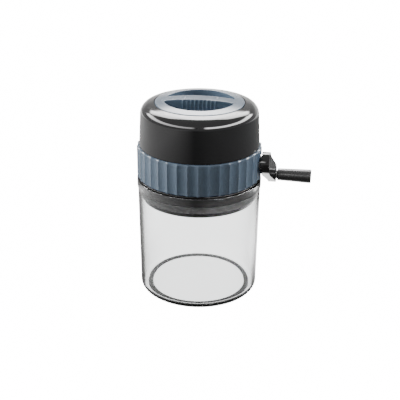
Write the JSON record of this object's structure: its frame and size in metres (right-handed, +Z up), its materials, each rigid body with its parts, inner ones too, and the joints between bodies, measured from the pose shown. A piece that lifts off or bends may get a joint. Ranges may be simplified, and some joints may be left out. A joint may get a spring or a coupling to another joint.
{
  "type": "hand crank table grinder",
  "caption": "Hand-cranked tabletop grinder: toothed roller in a domed head, fluted grip ring, lift-off lid, side crank with a turning knob, and a clear collecting jar.",
  "frame": {"origin": "on the jar's axis, level with the underside of the foot ring", "axes": "+Z up along the jar's axis, +X along the crank's axle towards the crank, -Y the front"},
  "size_m": [0.1752, 0.1262, 0.2056],
  "materials": {
    "clear_plastic": "clear, glossy",
    "gloss_black": "high gloss",
    "satin_slate": "satin",
    "soft_black": "matt",
    "grey_silicone": "satin",
    "stainless_steel": "fine brushed",
    "natural_nylon": "matt",
    "dark_plastic": "satin"
  },
  "bodies": {
    "jar": {"container": "clear_plastic", "foot_ring": "soft_black"},
    "head": {"housing": "gloss_black", "grip_ring": "satin_slate", "collar": "gloss_black", "collar_seal": "grey_silicone", "hopper": "dark_plastic", "comb_front": "stainless_steel", "comb_back": "stainless_steel", "comb_screw_1": "stainless_steel", "comb_screw_2": "stainless_steel", "comb_screw_3": "stainless_steel", "comb_screw_4": "stainless_steel", "bush_left": "natural_nylon", "bush_right": "natural_nylon"},
    "lid": {"lid": "satin_slate", "lid_seal": "soft_black"},
    "roller": {"roller_shaft": "stainless_steel", "shaft_clip": "stainless_steel", "cutter_disc_1": "stainless_steel", "cutter_disc_2": "stainless_steel", "cutter_disc_3": "stainless_steel", "cutter_disc_4": "stainless_steel", "cutter_disc_5": "stainless_steel", "cutter_disc_6": "stainless_steel", "cutter_disc_7": "stainless_steel", "disc_spacer_1": "natural_nylon", "disc_spacer_2": "natural_nylon", "disc_spacer_3": "natural_nylon", "disc_spacer_4": "natural_nylon", "disc_spacer_5": "natural_nylon", "disc_spacer_6": "natural_nylon", "disc_spacer_7": "natural_nylon", "disc_spacer_8": "natural_nylon", "crank_arm": "gloss_black", "crank_screw": "stainless_steel", "hub_cap": "gloss_black", "knob_pin": "stainless_steel", "knob_washer": "natural_nylon"},
    "knob": {"knob": "gloss_black", "knob_cap": "gloss_black"}
  },
  "joints": [
    {"name": "head_lift", "type": "slide", "parent": "jar", "child": "head", "axis": [0, 0, 1], "range_m": [0, 0.06]},
    {"name": "lid_lift", "type": "slide", "parent": "head", "child": "lid", "axis": [0, 0, 1], "range_m": [0, 0.05]},
    {"name": "crank_turn", "type": "hinge", "parent": "head", "child": "roller", "pos_m": [0, 0, 0.1412], "axis": [1, 0, 0], "continuous": true},
    {"name": "knob_spin", "type": "hinge", "parent": "roller", "child": "knob", "pos_m": [0.0771, 0.03664, 0.11507], "axis": [1, 0, 0], "continuous": true}
  ]
}
